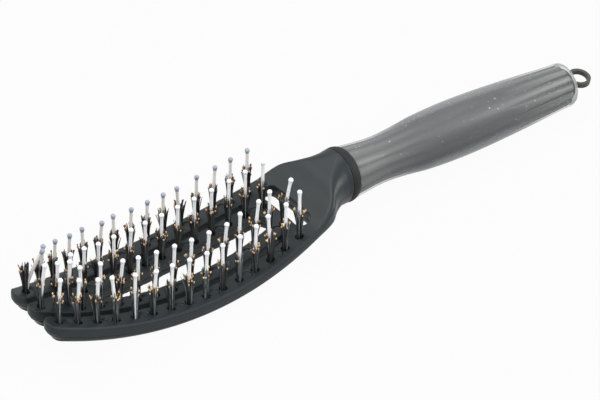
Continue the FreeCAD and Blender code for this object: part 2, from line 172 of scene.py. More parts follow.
def smooth_row(table, place):
    """Values of a table at a place, on smooth curves through its rows."""
    index = 0
    while index < len(table) - 2 and table[index + 1][0] <= place:
        index += 1
    low, high = table[index], table[index + 1]
    before = table[max(index - 1, 0)]
    after = table[min(index + 2, len(table) - 1)]
    span = high[0] - low[0]
    part = (place - low[0]) / span
    late = part * part * (3 - 2 * part)
    rise = part * (1 - part) ** 2
    fall = part * part * (1 - part)
    values = []
    for a, b, c, d in zip(before[1:], low[1:], high[1:], after[1:]):
        start_slope = (c - a) / (high[0] - before[0])
        end_slope = (d - b) / (after[0] - low[0])
        values.append(b + (c - b) * late + span * (start_slope * rise - end_slope * fall))
    return values


def side_at(station, margin=0.0):
    """Distance from the middle plane to the head's side, less a margin."""
    run = station - WIDEST_STATION
    return HEAD_HALF_WIDTH - SIDE_RADIUS + math.sqrt((SIDE_RADIUS - margin) ** 2 - run ** 2)


def thickness_at(station):
    """The head's thickness, which falls evenly towards the neck."""
    return TIP_THICKNESS + (ROOT_THICKNESS - TIP_THICKNESS) * station / HEAD_REACH


def face_at(station):
    """Height of the bristle face."""
    run = station - BELLY_STATION
    return thickness_at(BELLY_STATION) + BELLY_RADIUS - math.sqrt(BELLY_RADIUS ** 2 - run ** 2)


def face_normal(station):
    """Direction square to the bristle face, from its rise over one millimetre."""
    half = 0.5
    slope = face_at(station + half) - face_at(station - half)
    return Vector((-slope, 0, 1)).normalized()


def foot_at(station, y):
    """Place on the bristle face."""
    return Vector((TIP_X + station, y, face_at(station)))


def on_axis(x, y, z):
    """Place given along the grip's axis from the neck."""
    return Vector((NECK.x + x * math.cos(DROOP) + z * math.sin(DROOP), y,
                   NECK.z - x * math.sin(DROOP) + z * math.cos(DROOP)))


def face_row(station):
    """Half width, top, bottom, top edge and back edge in front of the palm."""
    top = face_at(station)
    return side_at(station), top, top - thickness_at(station), TOP_EDGE, BACK_EDGE


def head_rows():
    """The same values behind their stations, from the finger tips to the neck."""
    rows = [(s, *face_row(s)) for s in steps(0, PALM_START, HEAD_ROW_STEPS)]
    for share, width, top, bottom, edge in PALM_SHARES:
        top, bottom = NECK_HEIGHT * top, NECK_HEIGHT * bottom
        radius = (top - bottom) / 2 * edge
        rows.append((HEAD_REACH * share, HEAD_HALF_WIDTH * width, top, bottom, radius, radius))
    return rows


HEAD_ROWS = head_rows()


def head_row(station):
    """Half width, top, bottom, top edge and back edge of the head's section."""
    if station <= PALM_START:
        return face_row(station)
    return smooth_row(HEAD_ROWS, station)


def parting_at(station):
    """Height of the line between the front plate and the back cover."""
    top, bottom = head_row(station)[1:3]
    past = max(0, station - PALM_START) / (HEAD_REACH - PALM_START)
    return top - (PARTING_SHARE - PARTING_FALL * past) * (top - bottom)


def half_chord(radius, offset):
    """Half the width of a circle at an offset from its middle."""
    return math.sqrt(max(0, radius ** 2 - offset ** 2))


def half_section(row, parting, inset, upper):
    """Outline in the YZ plane of the part of a section above or below the parting line."""
    half, top, bottom, top_edge, back_edge = row
    half -= inset

    def width_at(z):
        if z > top - top_edge:
            return half - top_edge + half_chord(top_edge, z - top + top_edge)
        if z < bottom + back_edge:
            return half - back_edge + half_chord(back_edge, bottom + back_edge - z)
        return half

    edge = top_edge if upper else back_edge
    sign = 1 if upper else -1
    level = top - edge if upper else bottom + edge
    right = []
    if (level - parting) * sign > 0:
        right += [(width_at(z), z) for z in steps(parting, level, WALL_STEPS)[:-1]]
        start = 0
    else:
        right += [(width_at(parting), parting)] * WALL_STEPS
        start = math.asin(max(-1.0, min(1.0, (parting - level) * sign / edge)))
    for turn in steps(start, math.pi / 2, EDGE_STEPS):
        right.append((half - edge + edge * math.cos(turn), level + sign * edge * math.sin(turn)))
    flat = top if upper else bottom
    crown = [(y, flat) for y in steps(half - edge, edge - half, ACROSS_STEPS)[1:-1]]
    left = [(-y, z) for y, z in reversed(right)]
    wall = width_at(parting)
    floor = [(y, parting) for y in steps(-wall, wall, ACROSS_STEPS)[1:-1]]
    return right + crown + left + floor


def head_rings(inset, upper):
    """Rings of points from the finger tips to the neck."""
    rings = []
    for station in steps(0, HEAD_REACH * PALM_SHARES[-1][0], HEAD_STEPS):
        outline = half_section(head_row(station), parting_at(station), inset, upper)
        rings.append([Vector((TIP_X + station, y, z)) for y, z in outline])
    edge = (NECK_RADIUS - inset) * NECK_ROUNDNESS
    row = (NECK_RADIUS, NECK_RADIUS, -NECK_RADIUS, edge, edge)
    end = [on_axis(0, y, z) for y, z in half_section(row, 0.0, inset, upper)]
    rings.append([a.lerp(b, 0.5) for a, b in zip(rings[-1], end)])
    rings.append(end)
    return rings


def mesh_from(name, verts, faces):
    """Mesh with its double points merged and its faces turned outward."""
    mesh = bpy.data.meshes.new(name)
    mesh.from_pydata([tuple(v) for v in verts], [], faces)
    mesh.validate()
    bm = bmesh.new()
    bm.from_mesh(mesh)
    bmesh.ops.remove_doubles(bm, verts=bm.verts, dist=MERGE_DISTANCE)
    bmesh.ops.recalc_face_normals(bm, faces=bm.faces)
    bm.to_mesh(mesh)
    bm.free()
    return mesh


def ring_faces(count, size, caps=True):
    """Faces between rings that follow each other, and over both ends."""
    faces = []
    for i in range(count - 1):
        for j in range(size):
            k = (j + 1) % size
            faces.append((i * size + j, i * size + k, (i + 1) * size + k, (i + 1) * size + j))
    if caps:
        faces.append(tuple(range(size - 1, -1, -1)))
        faces.append(tuple(range((count - 1) * size, count * size)))
    return faces


def lofted(name, rings, caps=True):
    verts = [p for ring in rings for p in ring]
    return mesh_from(name, verts, ring_faces(len(rings), len(rings[0]), caps))


def ring_round(centre, normal, radius, sides, phase=0):
    """Circle of points, square to a line through its centre."""
    turn = UP.rotation_difference(normal)
    return [centre + turn @ Vector((radius * math.cos(a), radius * math.sin(a), 0))
            for a in (b + phase for b in turns(sides))]


def prism(outline, *levels):
    """Rings at each level over an outline in the XY plane."""
    return [[Vector((x, y, z)) for x, y in outline] for z in levels]


def cutter_mesh(name, ring_sets):
    """One mesh of several closed solids, each given by its rings."""
    verts, faces = [], []
    for rings in ring_sets:
        base = len(verts)
        verts += [p for ring in rings for p in ring]
        faces += [tuple(base + i for i in f) for f in ring_faces(len(rings), len(rings[0]))]
    return mesh_from(name, verts, faces)


def new_object(name, data):
    obj = bpy.data.objects.new(name, data)
    bpy.context.scene.collection.objects.link(obj)
    return obj


def piece(name, mesh, materials):
    """Smooth piece on the brush's body, from a mesh in millimetres."""
    mesh.transform(Matrix.Scale(MM, 4))
    for poly in mesh.polygons:
        poly.use_smooth = True
    for material in materials:
        mesh.materials.append(material)
    obj = new_object(name, mesh)
    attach(obj, "brush")
    return obj


def carved(name, mesh, cutters):
    """The mesh less the cutters, then its edges softly rounded as moulding leaves them."""
    obj = new_object(name, mesh)
    helpers = []
    for cutter in cutters:
        helper = new_object(cutter.name, cutter)
        helpers.append(helper)
        cut = obj.modifiers.new(cutter.name, "BOOLEAN")
        cut.operation = "DIFFERENCE"
        cut.solver = "EXACT"
        cut.object = helper
    grid = obj.modifiers.new("grid", "REMESH")
    grid.mode = "VOXEL"
    grid.voxel_size = VOXEL
    grid.use_smooth_shade = True
    soften = obj.modifiers.new("soften", "SMOOTH")
    soften.factor = SMOOTH_FACTOR
    soften.iterations = SMOOTH_ROUNDS
    graph = bpy.context.evaluated_depsgraph_get()
    result = bpy.data.meshes.new_from_object(obj.evaluated_get(graph))
    for helper in helpers + [obj]:
        data = helper.data
        bpy.data.objects.remove(helper)
        bpy.data.meshes.remove(data)
    return result


# ---- plan of the head ----

# How far cuts run past the solid: along it, from below to above it, over a hole and past
# a finger's end, and half the width of what is cut away there
CUT_OVERRUN, CUT_LOW, CUT_HIGH = 2, -4, 40
HOLE_OVERRUN, END_OVERRUN, END_REACH = 3, 3, 4.9

# Height over the bristle face at the tips, and setback of a finger's rounded end there:
# it leans back under the parting line and a little over the top edge
END_LEVELS = ((-16, 5.0), (-TIP_THICKNESS, 1.9), (-TIP_THICKNESS * 0.72, 0.6),
              (-TIP_THICKNESS * 0.5, 0.0), (-1.1, 0.05), (0, 0.45), (12, 3.0))

# The dimples between the tufts: depth and radius below the face, height and radius above
DIMPLE_DEPTH, DIMPLE_LOW_RADIUS = 0.7, 1.55
DIMPLE_RISE, DIMPLE_HIGH_RADIUS = 1.5, 1.75


def side_points(start, end, margin):
    return [(TIP_X + s, side_at(s, margin)) for s in steps(start, end, SIDE_STEPS)]


def arc_through(a, b, c, count=ARC_STEPS):
    """Points on the circle through three plan points, from a to c."""
    ax, ay, bx, by, cx, cy = *a, *b, *c
    d = 2 * (ax * (by - cy) + bx * (cy - ay) + cx * (ay - by))
    a2, b2, c2 = ax * ax + ay * ay, bx * bx + by * by, cx * cx + cy * cy
    ux = (a2 * (by - cy) + b2 * (cy - ay) + c2 * (ay - by)) / d
    uy = (a2 * (cx - bx) + b2 * (ax - cx) + c2 * (bx - ax)) / d
    radius = math.hypot(ax - ux, ay - uy)
    first = math.atan2(ay - uy, ax - ux)
    middle = (math.atan2(by - uy, bx - ux) - first) % (2 * math.pi)
    last = (math.atan2(cy - uy, cx - ux) - first) % (2 * math.pi)
    if middle > last:
        last -= 2 * math.pi
    return [(ux + radius * math.cos(first + t), uy + radius * math.sin(first + t))
            for t in steps(0, last, count)]


def mirror(outline):
    return [(x, -y) for x, y in reversed(outline)]


def slot_outline():
    """Slot between the left and the middle finger, round at the palm."""
    inner = FINGER_WIDTH + SLOT_WIDTH
    near = (TIP_X + SLOT_END, side_at(SLOT_END, FINGER_WIDTH))
    far = (TIP_X + SLOT_END, side_at(SLOT_END, inner))
    tip = ((near[0] + far[0]) / 2 + SLOT_WIDTH / 2, (near[1] + far[1]) / 2)
    return (side_points(-CUT_OVERRUN, SLOT_END, FINGER_WIDTH)[:-1] + arc_through(near, tip, far)
            + side_points(SLOT_END, -CUT_OVERRUN, inner)[1:])


def vent_outline():
    """Long vent in the middle finger, round at both ends."""
    margin = FINGER_WIDTH + SLOT_WIDTH + STRIP_WIDTH
    left = side_points(VENT_START, VENT_END, margin)
    first, last = left[0], left[-1]
    root = arc_through(last, (last[0] + last[1] / 2, 0), (last[0], -last[1]))
    nose = arc_through((first[0], -first[1]), (first[0] - first[1], 0), first)
    return left[:-1] + root + mirror(left)[1:-1] + nose[:-1]


def slit_outline():
    """Arched vent across the palm, round at both ends."""
    centre = TIP_X + SLIT_STATION - SLIT_RADIUS
    angle = math.asin(SLIT_HALF_SPAN / SLIT_RADIUS)
    outer, inner = SLIT_RADIUS + SLIT_WIDTH / 2, SLIT_RADIUS - SLIT_WIDTH / 2
    beyond = angle + SLIT_WIDTH / 2 / SLIT_RADIUS

    def at(radius, turn):
        return centre + radius * math.cos(turn), radius * math.sin(turn)

    long_arc = [at(outer, t) for t in steps(-angle, angle, SLIT_STEPS)]
    end = arc_through(at(outer, angle), at(SLIT_RADIUS, beyond), at(inner, angle))
    back = [at(inner, t) for t in steps(angle, -angle, SLIT_STEPS)]
    start = arc_through(at(inner, -angle), at(SLIT_RADIUS, -beyond), at(outer, -angle))
    return long_arc[:-1] + end[:-1] + back[:-1] + start[:-1]


def end_outline(centre_y, setback):
    """What is cut away round one finger's end, the arc set back from the tip."""
    tip = TIP_X + setback
    x = tip + FINGER_END_RADIUS
    arc = arc_through((x, centre_y + FINGER_END_RADIUS), (tip, centre_y),
                      (x, centre_y - FINGER_END_RADIUS), FINGER_END_STEPS)
    before, low, high = TIP_X - END_OVERRUN, centre_y - END_REACH, centre_y + END_REACH
    return [(x, high)] + arc + [(x, low), (before, low), (before, high)]


def end_cut(centre_y):
    """Rings of what is cut away round one finger's end, from below to above it."""
    top = face_at(0)
    return [[Vector((x, y, top + rise)) for x, y in end_outline(centre_y, setback)]
            for rise, setback in END_LEVELS]


def row_station(row):
    return BELLY_STATION + BELLY_RADIUS * math.sin(FIRST_ANGLE + ROW_STEP * row)


def tuft_lines():
    """Feet of the tufts in each line, as (station, y)."""
    outer = [(row_station(i), side_at(row_station(i), OUTER_MARGIN)) for i in range(ROWS)]
    inner = [(row_station(i), side_at(row_station(i), INNER_MARGIN))
             for i in range(UNSPLIT_ROWS, ROWS)]
    return {
        "left_finger": outer,
        "middle_left": inner,
        "middle_tip": [(FIRST_ROW + ROW_PITCH * share, 0.0) for share in CENTRE_SHARES],
        "middle_right": [(s, -y) for s, y in inner],
        "right_finger": [(s, -y) for s, y in outer],
    }


LINES = tuft_lines()


def hole_rings():
    sets = []
    for places in LINES.values():
        for station, y in places:
            foot = foot_at(station, y)
            sets.append([ring_round(foot + UP * rise, UP, HOLE_RADIUS, HOLE_SIDES)
                         for rise in (-HOLE_DEPTH, HOLE_OVERRUN)])
    return sets


def dimple_rings():
    """Shallow round recesses between every other pair of tufts."""
    sets = []
    for name, places in LINES.items():
        if name == "middle_tip":
            continue
        first = 0 if "finger" in name else 1
        for index in range(first, len(places) - 1, 2):
            station = (places[index][0] + places[index + 1][0]) / 2
            centre = foot_at(station, (places[index][1] + places[index + 1][1]) / 2)
            normal = face_normal(station)
            low, high = centre - normal * DIMPLE_DEPTH, centre + normal * DIMPLE_RISE
            sets.append([ring_round(low, normal, DIMPLE_LOW_RADIUS, DIMPLE_SIDES),
                         ring_round(high, normal, DIMPLE_HIGH_RADIUS, DIMPLE_SIDES)])
    return sets


# ---- materials ----

NOISE_ROUGHNESS = 0.55

# The clear skin's veil: how dense it is face on, then, at the belly and at the grip's
# ends, the facing values where it starts to thicken and is thickest, and how dense then
VEIL_FACE_ON = 0.12
VEILS = ((0.34, 0.6, 0.9), (0.7, 0.96, 0.66))


def cleared_tree(owner):
    """The emptied node tree of a material or a world."""
    owner.use_nodes = True
    owner.node_tree.nodes.clear()
    return owner.node_tree


def new_material(name):
    """A material, its node tree and its one Principled shader."""
    material = bpy.data.materials.new(name)
    tree = cleared_tree(material)
    output = tree.nodes.new("ShaderNodeOutputMaterial")
    shader = tree.nodes.new("ShaderNodeBsdfPrincipled")
    tree.links.new(shader.outputs[0], output.inputs["Surface"])
    return material, tree, shader


def object_coordinates(tree, scale=(1, 1, 1)):
    coords = tree.nodes.new("ShaderNodeTexCoord")
    mapping = tree.nodes.new("ShaderNodeMapping")
    mapping.inputs["Scale"].default_value = scale
    tree.links.new(coords.outputs["Object"], mapping.inputs["Vector"])
    return mapping.outputs["Vector"]


def noise(tree, vector, scale, detail):
    node = tree.nodes.new("ShaderNodeTexNoise")
    node.inputs["Scale"].default_value = scale
    node.inputs["Detail"].default_value = detail
    node.inputs["Roughness"].default_value = NOISE_ROUGHNESS
    tree.links.new(vector, node.inputs["Vector"])
    return node.outputs["Fac"]


def attribute(tree, name):
    node = tree.nodes.new("ShaderNodeAttribute")
    node.attribute_name = name
    return node.outputs["Fac"]


def ramp(tree, value, *stops):
    """Colour that follows a value through stops of (place, colour)."""
    node = tree.nodes.new("ShaderNodeValToRGB")
    elements = node.color_ramp.elements
    while len(elements) < len(stops):
        elements.new(0.5)
    for element, (place, colour) in zip(elements, stops):
        element.position = place
        element.color = (*colour, 1)
    tree.links.new(value, node.inputs["Fac"])
    return node.outputs["Color"]


def ranged(tree, value, low, high):
    """A value from 0 to 1, spread from low to high."""
    node = tree.nodes.new("ShaderNodeMapRange")
    node.inputs["To Min"].default_value = low
    node.inputs["To Max"].default_value = high
    tree.links.new(value, node.inputs["Value"])
    return node.outputs["Result"]


def mixed(tree, kind, factor, first, second):
    """Blend of two values of one kind, FLOAT or RGBA."""
    node = tree.nodes.new("ShaderNodeMix")
    node.data_type = kind
    tree.links.new(factor, node.inputs["Factor"])
    tree.links.new(first, node.inputs["A"])
    tree.links.new(second, node.inputs["B"])
    return node.outputs["Result"]


def bump(tree, height, shader, strength, distance):
    node = tree.nodes.new("ShaderNodeBump")
    node.inputs["Strength"].default_value = strength
    node.inputs["Distance"].default_value = distance
    tree.links.new(height, node.inputs["Height"])
    tree.links.new(node.outputs["Normal"], shader.inputs["Normal"])


def coloured(tree, shader, pattern, *stops):
    tree.links.new(ramp(tree, pattern, *stops), shader.inputs["Base Color"])


def roughened(tree, shader, pattern, low, high):
    tree.links.new(ranged(tree, pattern, low, high), shader.inputs["Roughness"])


def grained_plastic(name, dark, light, rough, specular=0.45):
    """Moulded plastic with a fine grain, cloudy gloss and faint handling marks."""
    material, tree, shader = new_material(name)
    vector = object_coordinates(tree)
    cloud = noise(tree, vector, scale=90, detail=4)
    grain = noise(tree, vector, scale=2600, detail=2)
    coloured(tree, shader, cloud, (0.3, dark), (0.7, light))
    roughened(tree, shader, cloud, rough - 0.07, rough + 0.07)
    shader.inputs["Specular IOR Level"].default_value = specular
    bump(tree, grain, shader, strength=0.35, distance=0.00004)
    return material


def skin_material():
    """Clear smoky outer moulding: thin face on, denser at grazing angles."""
    material, tree, shader = new_material("skin_clear")
    vector = object_coordinates(tree)
    along = object_coordinates(tree, (0.06, 1, 1))
    streak = noise(tree, along, scale=420, detail=3)
    speck = noise(tree, vector, scale=1500, detail=1)
    coloured(tree, shader, speck, (0.66, (0.15, 0.155, 0.16)), (0.74, (0.4, 0.4, 0.4)))
    roughened(tree, shader, streak, 0.2, 0.34)
    facing = tree.nodes.new("ShaderNodeLayerWeight")
    facing.inputs["Blend"].default_value = 0.5
    veils = []
    for start, full, dense in VEILS:
        curve = tree.nodes.new("ShaderNodeMapRange")
        curve.interpolation_type = "SMOOTHERSTEP"
        curve.inputs["From Min"].default_value = start
        curve.inputs["From Max"].default_value = full
        curve.inputs["To Min"].default_value = VEIL_FACE_ON
        curve.inputs["To Max"].default_value = dense
        tree.links.new(facing.outputs["Facing"], curve.inputs["Value"])
        veils.append(curve.outputs["Result"])
    veil = mixed(tree, "FLOAT", attribute(tree, "ends"), *veils)
    tree.links.new(veil, shader.inputs["Alpha"])
    shader.inputs["Specular IOR Level"].default_value = 0.4
    shader.inputs["Coat Weight"].default_value = 0.15
    shader.inputs["Coat Roughness"].default_value = 0.12
    bump(tree, streak, shader, strength=0.06, distance=0.0001)
    return material


def painted_end_light_material():
    """The skin's own butt face, painted pale and milky for the light that the clear skin carries
    to it: painted light.
    """
    material, tree, shader = new_material("skin_end_painted_light")
    cloud = noise(tree, object_coordinates(tree), scale=700, detail=3)
    coloured(tree, shader, cloud, (0.3, (0.9, 0.915, 0.925)), (0.7, (0.95, 0.955, 0.96)))
    roughened(tree, shader, cloud, 0.18, 0.3)
    shader.inputs["Alpha"].default_value = 0.75
    return material


def core_material():
    """Smoky core, smooth at the belly; at both ends painted shade in flute grooves and painted
    highlight on ridges; pale specks.
    """
    material, tree, shader = new_material("core_smoke")
    along = object_coordinates(tree, (0.05, 1, 1))
    vector = object_coordinates(tree)
    streak = noise(tree, along, scale=260, detail=3)
    speck = noise(tree, vector, scale=950, detail=2)
    belly = ramp(tree, streak, (0.35, (0.112, 0.118, 0.121)), (0.65, (0.145, 0.147, 0.144)))
    # Painted light: the flutes' grooves painted darker as shade, their ridges lighter and warmer
    # as a highlight
    flutes = ramp(tree, attribute(tree, "wave"), (0.1, (0.098, 0.103, 0.106)),
                  (0.6, (0.142, 0.144, 0.142)), (0.97, (0.225, 0.219, 0.206)))
    base = mixed(tree, "RGBA", attribute(tree, "ends"), belly, flutes)
    spots = ramp(tree, speck, (0.7, (0, 0, 0)), (0.73, (1, 1, 1)))
    pale = ramp(tree, speck, (0.0, (0.55, 0.55, 0.54)), (1.0, (0.6, 0.6, 0.59)))
    tree.links.new(mixed(tree, "RGBA", spots, base, pale), shader.inputs["Base Color"])
    roughened(tree, shader, streak, 0.34, 0.46)
    shader.inputs["Specular IOR Level"].default_value = 0.25
    bump(tree, streak, shader, strength=0.1, distance=0.0002)
    return material


def nylon_material(name, dark, light):
    """Slightly translucent nylon, cloudy along the pin."""
    material, tree, shader = new_material(name)
    cloud = noise(tree, object_coordinates(tree, (1, 1, 0.2)), scale=500, detail=2)
    coloured(tree, shader, cloud, (0.3, dark), (0.7, light))
    roughened(tree, shader, cloud, 0.3, 0.42)
    shader.inputs["Subsurface Weight"].default_value = 0.12
    shader.inputs["Subsurface Scale"].default_value = 0.0006
    return material


def bristle_material(name, dark, light, rough):
    """Stiff bristle, its shade changing from one to the next and slowly along each."""
    material, tree, shader = new_material(name)
    hair = noise(tree, object_coordinates(tree, (1, 1, 0.15)), scale=1800, detail=2)
    coloured(tree, shader, hair, (0.35, dark), (0.65, light))
    roughened(tree, shader, hair, rough - 0.08, rough + 0.1)
    return material


HEAD = grained_plastic("head_plastic_look", (0.012, 0.0165, 0.0185), (0.018, 0.024, 0.0265),
                       rough=0.42, specular=0.3)
COLLAR = grained_plastic("collar_plastic_look", (0.014, 0.0155, 0.016), (0.021, 0.0225, 0.023),
                         rough=0.62, specular=0.2)
LOOP = grained_plastic("loop_plastic_look", (0.05, 0.05, 0.047), (0.07, 0.07, 0.066),
                       rough=0.55, specular=0.3)
PLUG = grained_plastic("plug_plastic_look", (0.1, 0.1, 0.1), (0.15, 0.15, 0.148), rough=0.5)
STEEL = grained_plastic("wire_look", (0.35, 0.33, 0.29), (0.5, 0.48, 0.43), rough=0.35)
SKIN = skin_material()
PAINTED_END_LIGHT = painted_end_light_material()
CORE = core_material()
NYLON = nylon_material("pin_white", (0.91, 0.925, 0.94), (0.955, 0.96, 0.965))
# Darker, warmer copy of the white pin nylon for the far line: painted shade
NYLON_PAINTED_SHADE = nylon_material("pin_painted_shade", (0.72, 0.685, 0.64), (0.80, 0.77, 0.73))
BALL = nylon_material("ball_white", (0.84, 0.885, 0.93), (0.93, 0.95, 0.97))
# Darker grey copy of the white ball for the far line: painted shade
BALL_PAINTED_SHADE = nylon_material("ball_painted_shade", (0.22, 0.25, 0.31), (0.34, 0.375, 0.44))
BLACK = bristle_material("bristle_black", (0.006, 0.006, 0.006), (0.02, 0.019, 0.018), rough=0.34)
GOLD = bristle_material("bristle_tip", (0.5, 0.27, 0.11), (0.95, 0.7, 0.4), rough=0.5)
# Lighter bluish-grey bristles that paint a sheen on the black ones: painted sheen
BRISTLE_PAINTED_SHEEN = bristle_material("bristle_painted_sheen", (0.045, 0.052, 0.058), (0.19, 0.215, 0.23), rough=0.24)
# Darker copy of the gold tips, used mostly in the far lines: painted shade
TIP_PAINTED_SHADE = bristle_material("bristle_tip_painted_shade", (0.04, 0.022, 0.014), (0.2, 0.11, 0.06), rough=0.5)


# ---- head ----

def head_cutters():
    """Slots and vents, and the three finger ends, which need a cutter each."""
    slot = slot_outline()
    outlines = (slot, mirror(slot), vent_outline(), slit_outline())
    cutters = [cutter_mesh("vents", [prism(o, CUT_LOW, CUT_HIGH) for o in outlines])]
    left = side_at(FINGER_END_RADIUS, FINGER_WIDTH / 2)
    return cutters + [cutter_mesh("end", [end_cut(y)]) for y in (left, 0.0, -left)]


def face_cutters():
    return [cutter_mesh("holes", hole_rings()), cutter_mesh("dimples", dimple_rings())]


front_mesh = carved("front", lofted("front", head_rings(0, True)),
                    head_cutters() + face_cutters())
front = piece("head_front", front_mesh, [HEAD])
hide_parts("front_plate")
back_mesh = carved("back", lofted("back", head_rings(COVER_INSET, False)), head_cutters())
back = piece("head_back", back_mesh, [HEAD])
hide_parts("back_cover")


# ---- collar and grip ----

# The collar: its gap to neck and grip, its bore in front and behind, the drop of its two
# shoulders, the shares of its width that bulge, by how much, and the easing of corners
COLLAR_GAP = 0.02
COLLAR_FRONT_BORE, COLLAR_BACK_BORE = 7.6, 7.0
COLLAR_FRONT_DROP, COLLAR_BACK_DROP = 0.1, 0.2
COLLAR_SPAN, COLLAR_BULGE = (0.04, 0.96), 0.33
CORNER_EASE, CORNER_EASE_SHARE = 0.18, 0.45

# The clear skin: its gap to the collar, its bore and edge there and the lead to its first
# full ring, its gap to the plug and seat for it, and the depth of its butt face, painted pale
# and milky for the light that the clear skin carries there: painted light
SKIN_GAP, SKIN_BORE, SKIN_EDGE, SKIN_LEAD = 0.05, 7.3, 0.35, 1
PLUG_GAP, PLUG_SEAT = 0.02, 1.4
PAINTED_END_LIGHT_DEPTH = 0.5

# The core: the skin's wall over it at the belly and at the ends, its gaps to the collar,
# the butt face and the plug, its bore, the lead to its first full ring and its edge
SKIN_WALL, END_WALL = 0.9, 0.45
CORE_START_GAP, CORE_GAP, CORE_PLUG_GAP = 0.1, 1.6, 0.05
CORE_BORE, CORE_LEAD, CORE_EDGE = 5.0, 0.6, 0.9

# Reach, depth and fade of the flutes at the neck and of the lobes at the butt
FLUTE_REACH, FLUTE_DEPTH, FLUTE_FADE = 34, 0.38, 0.7
LOBE_REACH, LOBE_DEPTH, LOBE_FADE, LOBE_ROUNDNESS = 30, 1.0, 0.8, 0.55

# How soon the ends' look, with its painted shade in the grooves and painted highlight on
# the ridges, takes over from the belly's, and by what share that painted shade and
# highlight at the neck are drawn towards their mean
ENDS_GAIN, ENDS_FADE = 1.25, 0.9
NECK_FADE, MEAN_WAVE = 0.5, 0.6


def turned(name, profile, sides, shape=None):
    """Rings about the grip's axis through (x, radius), the radius shaped round the axis."""
    rings = []
    for x, radius in profile:
        ring = []
        for a in turns(sides):
            r = shape(x, radius, a) if shape else radius
            ring.append(on_axis(x, r * math.cos(a), r * math.sin(a)))
        rings.append(ring)
    return lofted(name, rings, caps=False)


def eased(corner, towards):
    """Point a little before a corner, on the way to a neighbour."""
    share = min(CORNER_EASE_SHARE, CORNER_EASE / math.dist(corner, towards))
    return [corner[i] + (towards[i] - corner[i]) * share for i in (0, 1)]


def rounded_profile(points):
    """Profile points with each inner corner eased by a small curve."""
    out = [points[0]]
    for a, b, c in zip(points, points[1:], points[2:]):
        p, q = eased(b, a), eased(b, c)
        for t in steps(0, 1, CORNER_STEPS):
            out.append(tuple((1 - t) ** 2 * p[i] + 2 * t * (1 - t) * b[i] + t * t * q[i]
                             for i in (0, 1)))
    out.append(points[-1])
    return out


def quarter_round(x, radius, edge, count):
    """Profile of a rounded edge that turns in to a face at x."""
    return [(x - edge * (1 - math.sin(turn)), radius - edge * (1 - math.cos(turn)))
            for turn in steps(0, math.pi / 2, count)[1:]]


def collar_profile():
    back_radius = GRIP_RADIUS * GRIP_SHARES[0][1]
    points = [(COLLAR_GAP, COLLAR_FRONT_BORE), (COLLAR_GAP, NECK_RADIUS - COLLAR_FRONT_DROP)]
    for share in steps(*COLLAR_SPAN, COLLAR_STEPS):
        radius = NECK_RADIUS + (back_radius - NECK_RADIUS) * share
        points.append((COLLAR_WIDTH * share, radius + COLLAR_BULGE * math.sin(math.pi * share)))
    end = COLLAR_WIDTH - COLLAR_GAP
    return rounded_profile(points + [(end, back_radius - COLLAR_BACK_DROP),
                                     (end, COLLAR_BACK_BORE)])


collar = piece("collar_band", turned("collar", collar_profile(), COLLAR_SIDES), [COLLAR])
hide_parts("collar_ring")


def grip_radius_at(x):
    share = min(max((x - COLLAR_WIDTH) / GRIP_LENGTH, 0), GRIP_SHARES[-1][0])
    return GRIP_RADIUS * smooth_row(GRIP_SHARES, share)[0]


def skin_profile():
    start = COLLAR_WIDTH + SKIN_GAP
    rim = grip_radius_at(start)
    points = [(start, SKIN_BORE), (start, rim - SKIN_EDGE)]
    for turn in steps(0, math.pi / 2, RIM_STEPS):
        points.append((start + SKIN_EDGE * (1 - math.cos(turn)),
                       rim - SKIN_EDGE * (1 - math.sin(turn))))
    points += [(x, grip_radius_at(x))
               for x in steps(start + SKIN_LEAD, BUTT - BUTT_EDGE, SKIN_STEPS)]
    points += quarter_round(BUTT, grip_radius_at(BUTT), BUTT_EDGE, BUTT_STEPS)
    bore = PLUG_RADIUS + PLUG_GAP
    return points + [(BUTT, bore), (BUTT - PLUG_SEAT, bore)]


def end_shares(x):
    """How strongly the flutes of the neck and the lobes of the butt show at x."""
    return max(0.0, 1 - x / FLUTE_REACH), max(0.0, 1 - (BUTT - x) / LOBE_REACH)


def near_end(x):
    """From 0 at the belly to 1 near both ends of the grip."""
    return min(1.0, ENDS_GAIN * max(end_shares(x)) ** ENDS_FADE)


def wall_at(x):
    """The clear skin is thickest at the belly."""
    return SKIN_WALL + (END_WALL - SKIN_WALL) * near_end(x)


def wave_at(angle):
    """From 0 in a groove to 1 on a ridge."""
    return abs(math.cos(FLUTES / 2 * angle))


def mark_flutes(mesh):
    """Keeps each point's place between groove and ridge, from which the core paints shade and
    highlight, and how near an end it is.
    """
    waves, ends = [], []
    for vertex in mesh.vertices:
        offset = vertex.co - NECK
        along = offset.dot(AXIS)
        wave = wave_at(math.atan2(offset.dot(ABOVE), offset.y))
        fade = NECK_FADE * min(1, 2 * end_shares(along)[0])
        waves.append(wave + fade * (MEAN_WAVE - wave))
        ends.append(near_end(along))
    for name, values in (("wave", waves), ("ends", ends)):
        mesh.attributes.new(name, "FLOAT", "POINT").data.foreach_set("value", values)


skin_mesh = turned("skin", skin_profile(), SKIN_SIDES)
mark_flutes(skin_mesh)
skin = piece("grip_clear_skin", skin_mesh, [SKIN, PAINTED_END_LIGHT])
# Faces at the butt take the pale look, which paints the light that the clear skin carries
for poly in skin.data.polygons:
    if (poly.center / MM - NECK).dot(AXIS) > BUTT - PAINTED_END_LIGHT_DEPTH:
        poly.material_index = 1
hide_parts("grip_skin")


def fluted(x, radius, angle):
    """Broad shallow flutes at the neck and deep rounded lobes at the butt."""
    wave = wave_at(angle)
    neck, end = end_shares(x)
    return (radius - FLUTE_DEPTH * neck ** FLUTE_FADE * (1 - wave)
            - LOBE_DEPTH * end ** LOBE_FADE * (1 - wave ** LOBE_ROUNDNESS))


